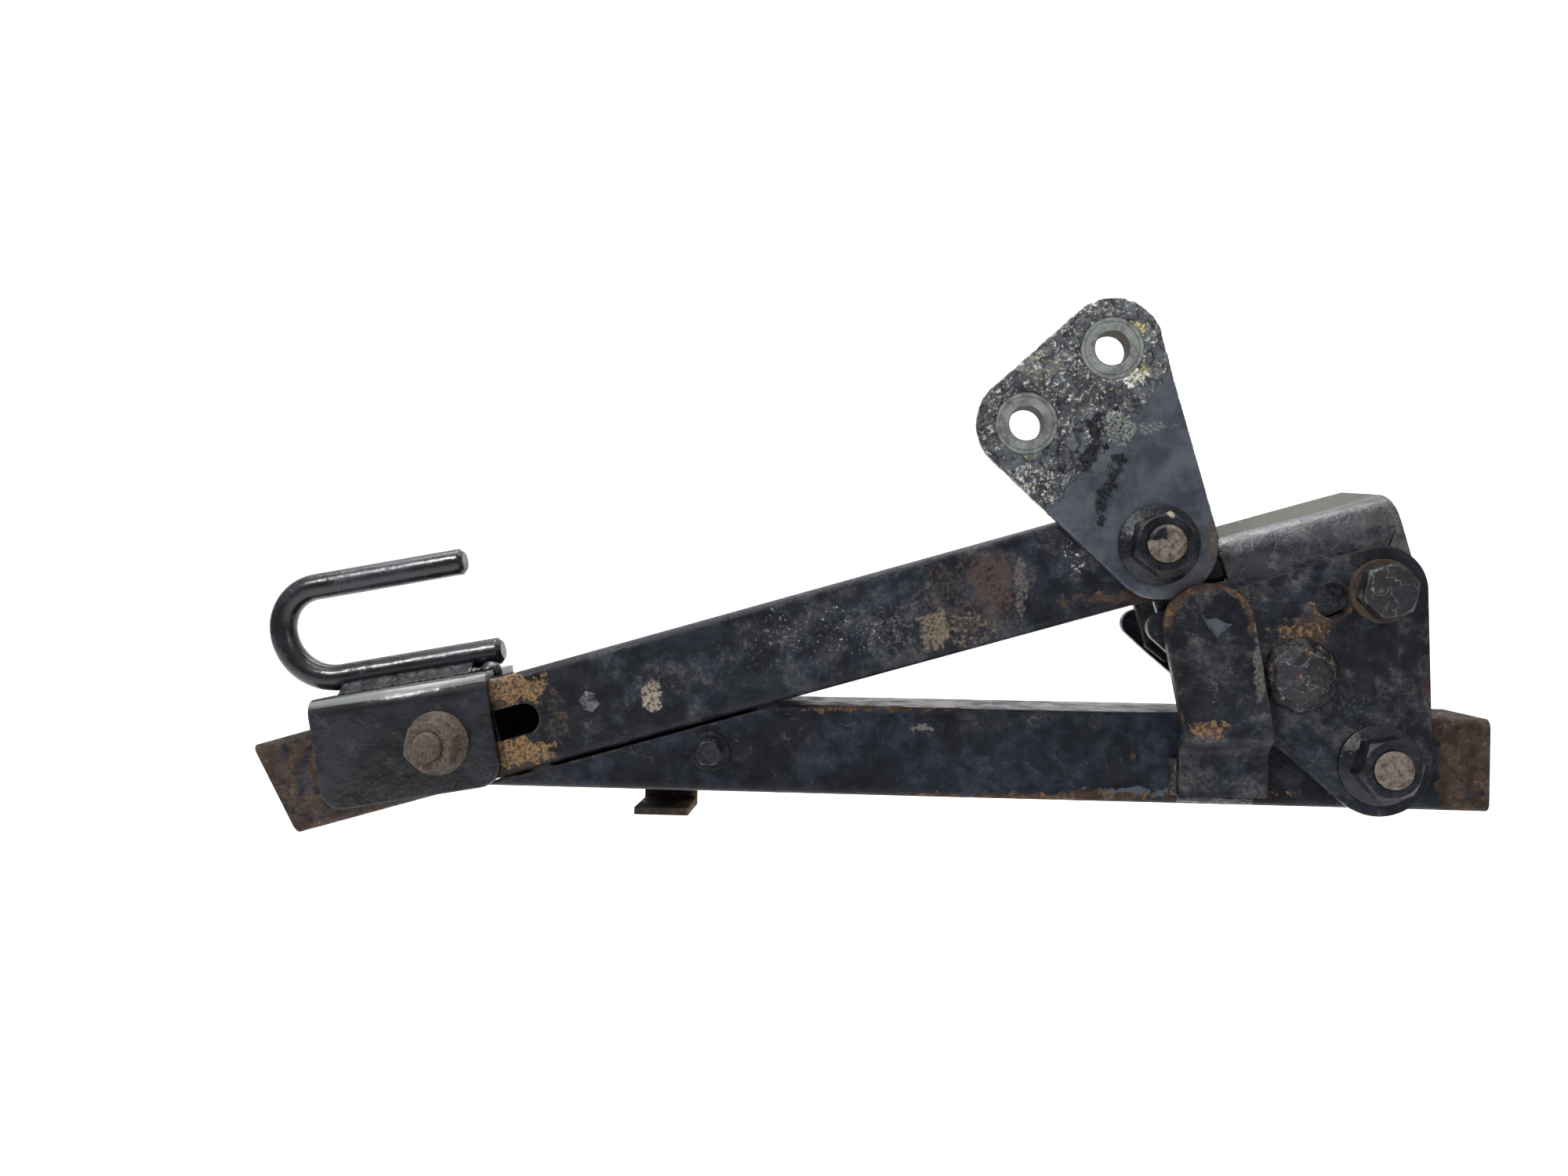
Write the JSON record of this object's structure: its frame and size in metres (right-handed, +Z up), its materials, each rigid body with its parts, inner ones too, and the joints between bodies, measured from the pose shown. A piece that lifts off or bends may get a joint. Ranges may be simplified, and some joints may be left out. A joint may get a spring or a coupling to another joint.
{
  "type": "gate opener arm",
  "caption": "Folding gate opener arm: slotted tube with sliding hook, swinging ear plate with bushed holes, and a lower tube that folds out between side plates.",
  "frame": {"origin": "middle of the arm's box, on the surface that it stands on", "axes": "+X along the arm towards the pivots, +Y from the front, where the nuts are, to the back, +Z up"},
  "size_m": [0.4148, 0.077, 0.1699],
  "materials": {
    "tube_paint": "worn satin black paint over steel, rust at the edges and cut ends",
    "plate_paint": "worn satin black paint with pale scuffs and rust chips",
    "smooth_paint": "smooth semi-gloss black paint",
    "undercoat": "thick lumpy glossy black undercoat, cracked",
    "painted_fastener": "black paint worn off the bolt end",
    "rusty_fastener": "brown rusted steel with paint remains",
    "bare_steel": "bare brown steel",
    "zinc": "dull grey zinc",
    "weld": "painted weld bead"
  },
  "bodies": {
    "main_arm": {"upper_tube": "tube_paint", "upper_pivot_sleeve": "bare_steel", "channel_cover": "plate_paint", "channel_weld": "weld", "side_plate_front": "plate_paint", "side_plate_rear": "plate_paint", "clamp_bolt": "rusty_fastener", "clamp_washer": "rusty_fastener", "clamp_nut": "rusty_fastener", "cross_rivet": "plate_paint", "upper_pivot_bolt": "bare_steel", "upper_pivot_nut": "painted_fastener", "ear_washer": "rusty_fastener", "lower_pivot_bolt": "bare_steel", "lower_pivot_nut": "painted_fastener"},
    "ear": {"ear_plate": "undercoat", "ear_bushes": "zinc"},
    "lower_arm": {"lower_tube": "tube_paint", "lower_pivot_sleeve": "bare_steel", "stop_tab": "plate_paint", "tab_weld": "weld", "latch_lug": "plate_paint", "latch_bolt": "painted_fastener", "latch_nut": "rusty_fastener"},
    "hook": {"hook_saddle": "smooth_paint", "hook_rod": "smooth_paint", "rod_weld": "weld", "hook_bolt": "rusty_fastener", "hook_nut": "rusty_fastener", "hook_slide": "bare_steel"}
  },
  "joints": [
    {"name": "ear_pivot", "type": "hinge", "parent": "main_arm", "child": "ear", "pos_m": [0.1026, 0, 0.08973], "axis": [0, 1, 0], "range_deg": [-28, 72]},
    {"name": "lower_arm_pivot", "type": "hinge", "parent": "main_arm", "child": "lower_arm", "pos_m": [0.1696, 0, 0.017], "axis": [0, -1, 0], "range_deg": [0, 92]},
    {"name": "hook_slide_joint", "type": "slide", "parent": "main_arm", "child": "hook", "axis": [0.9713, 0, 0.2377], "range_m": [-0.01, 0.03]}
  ]
}
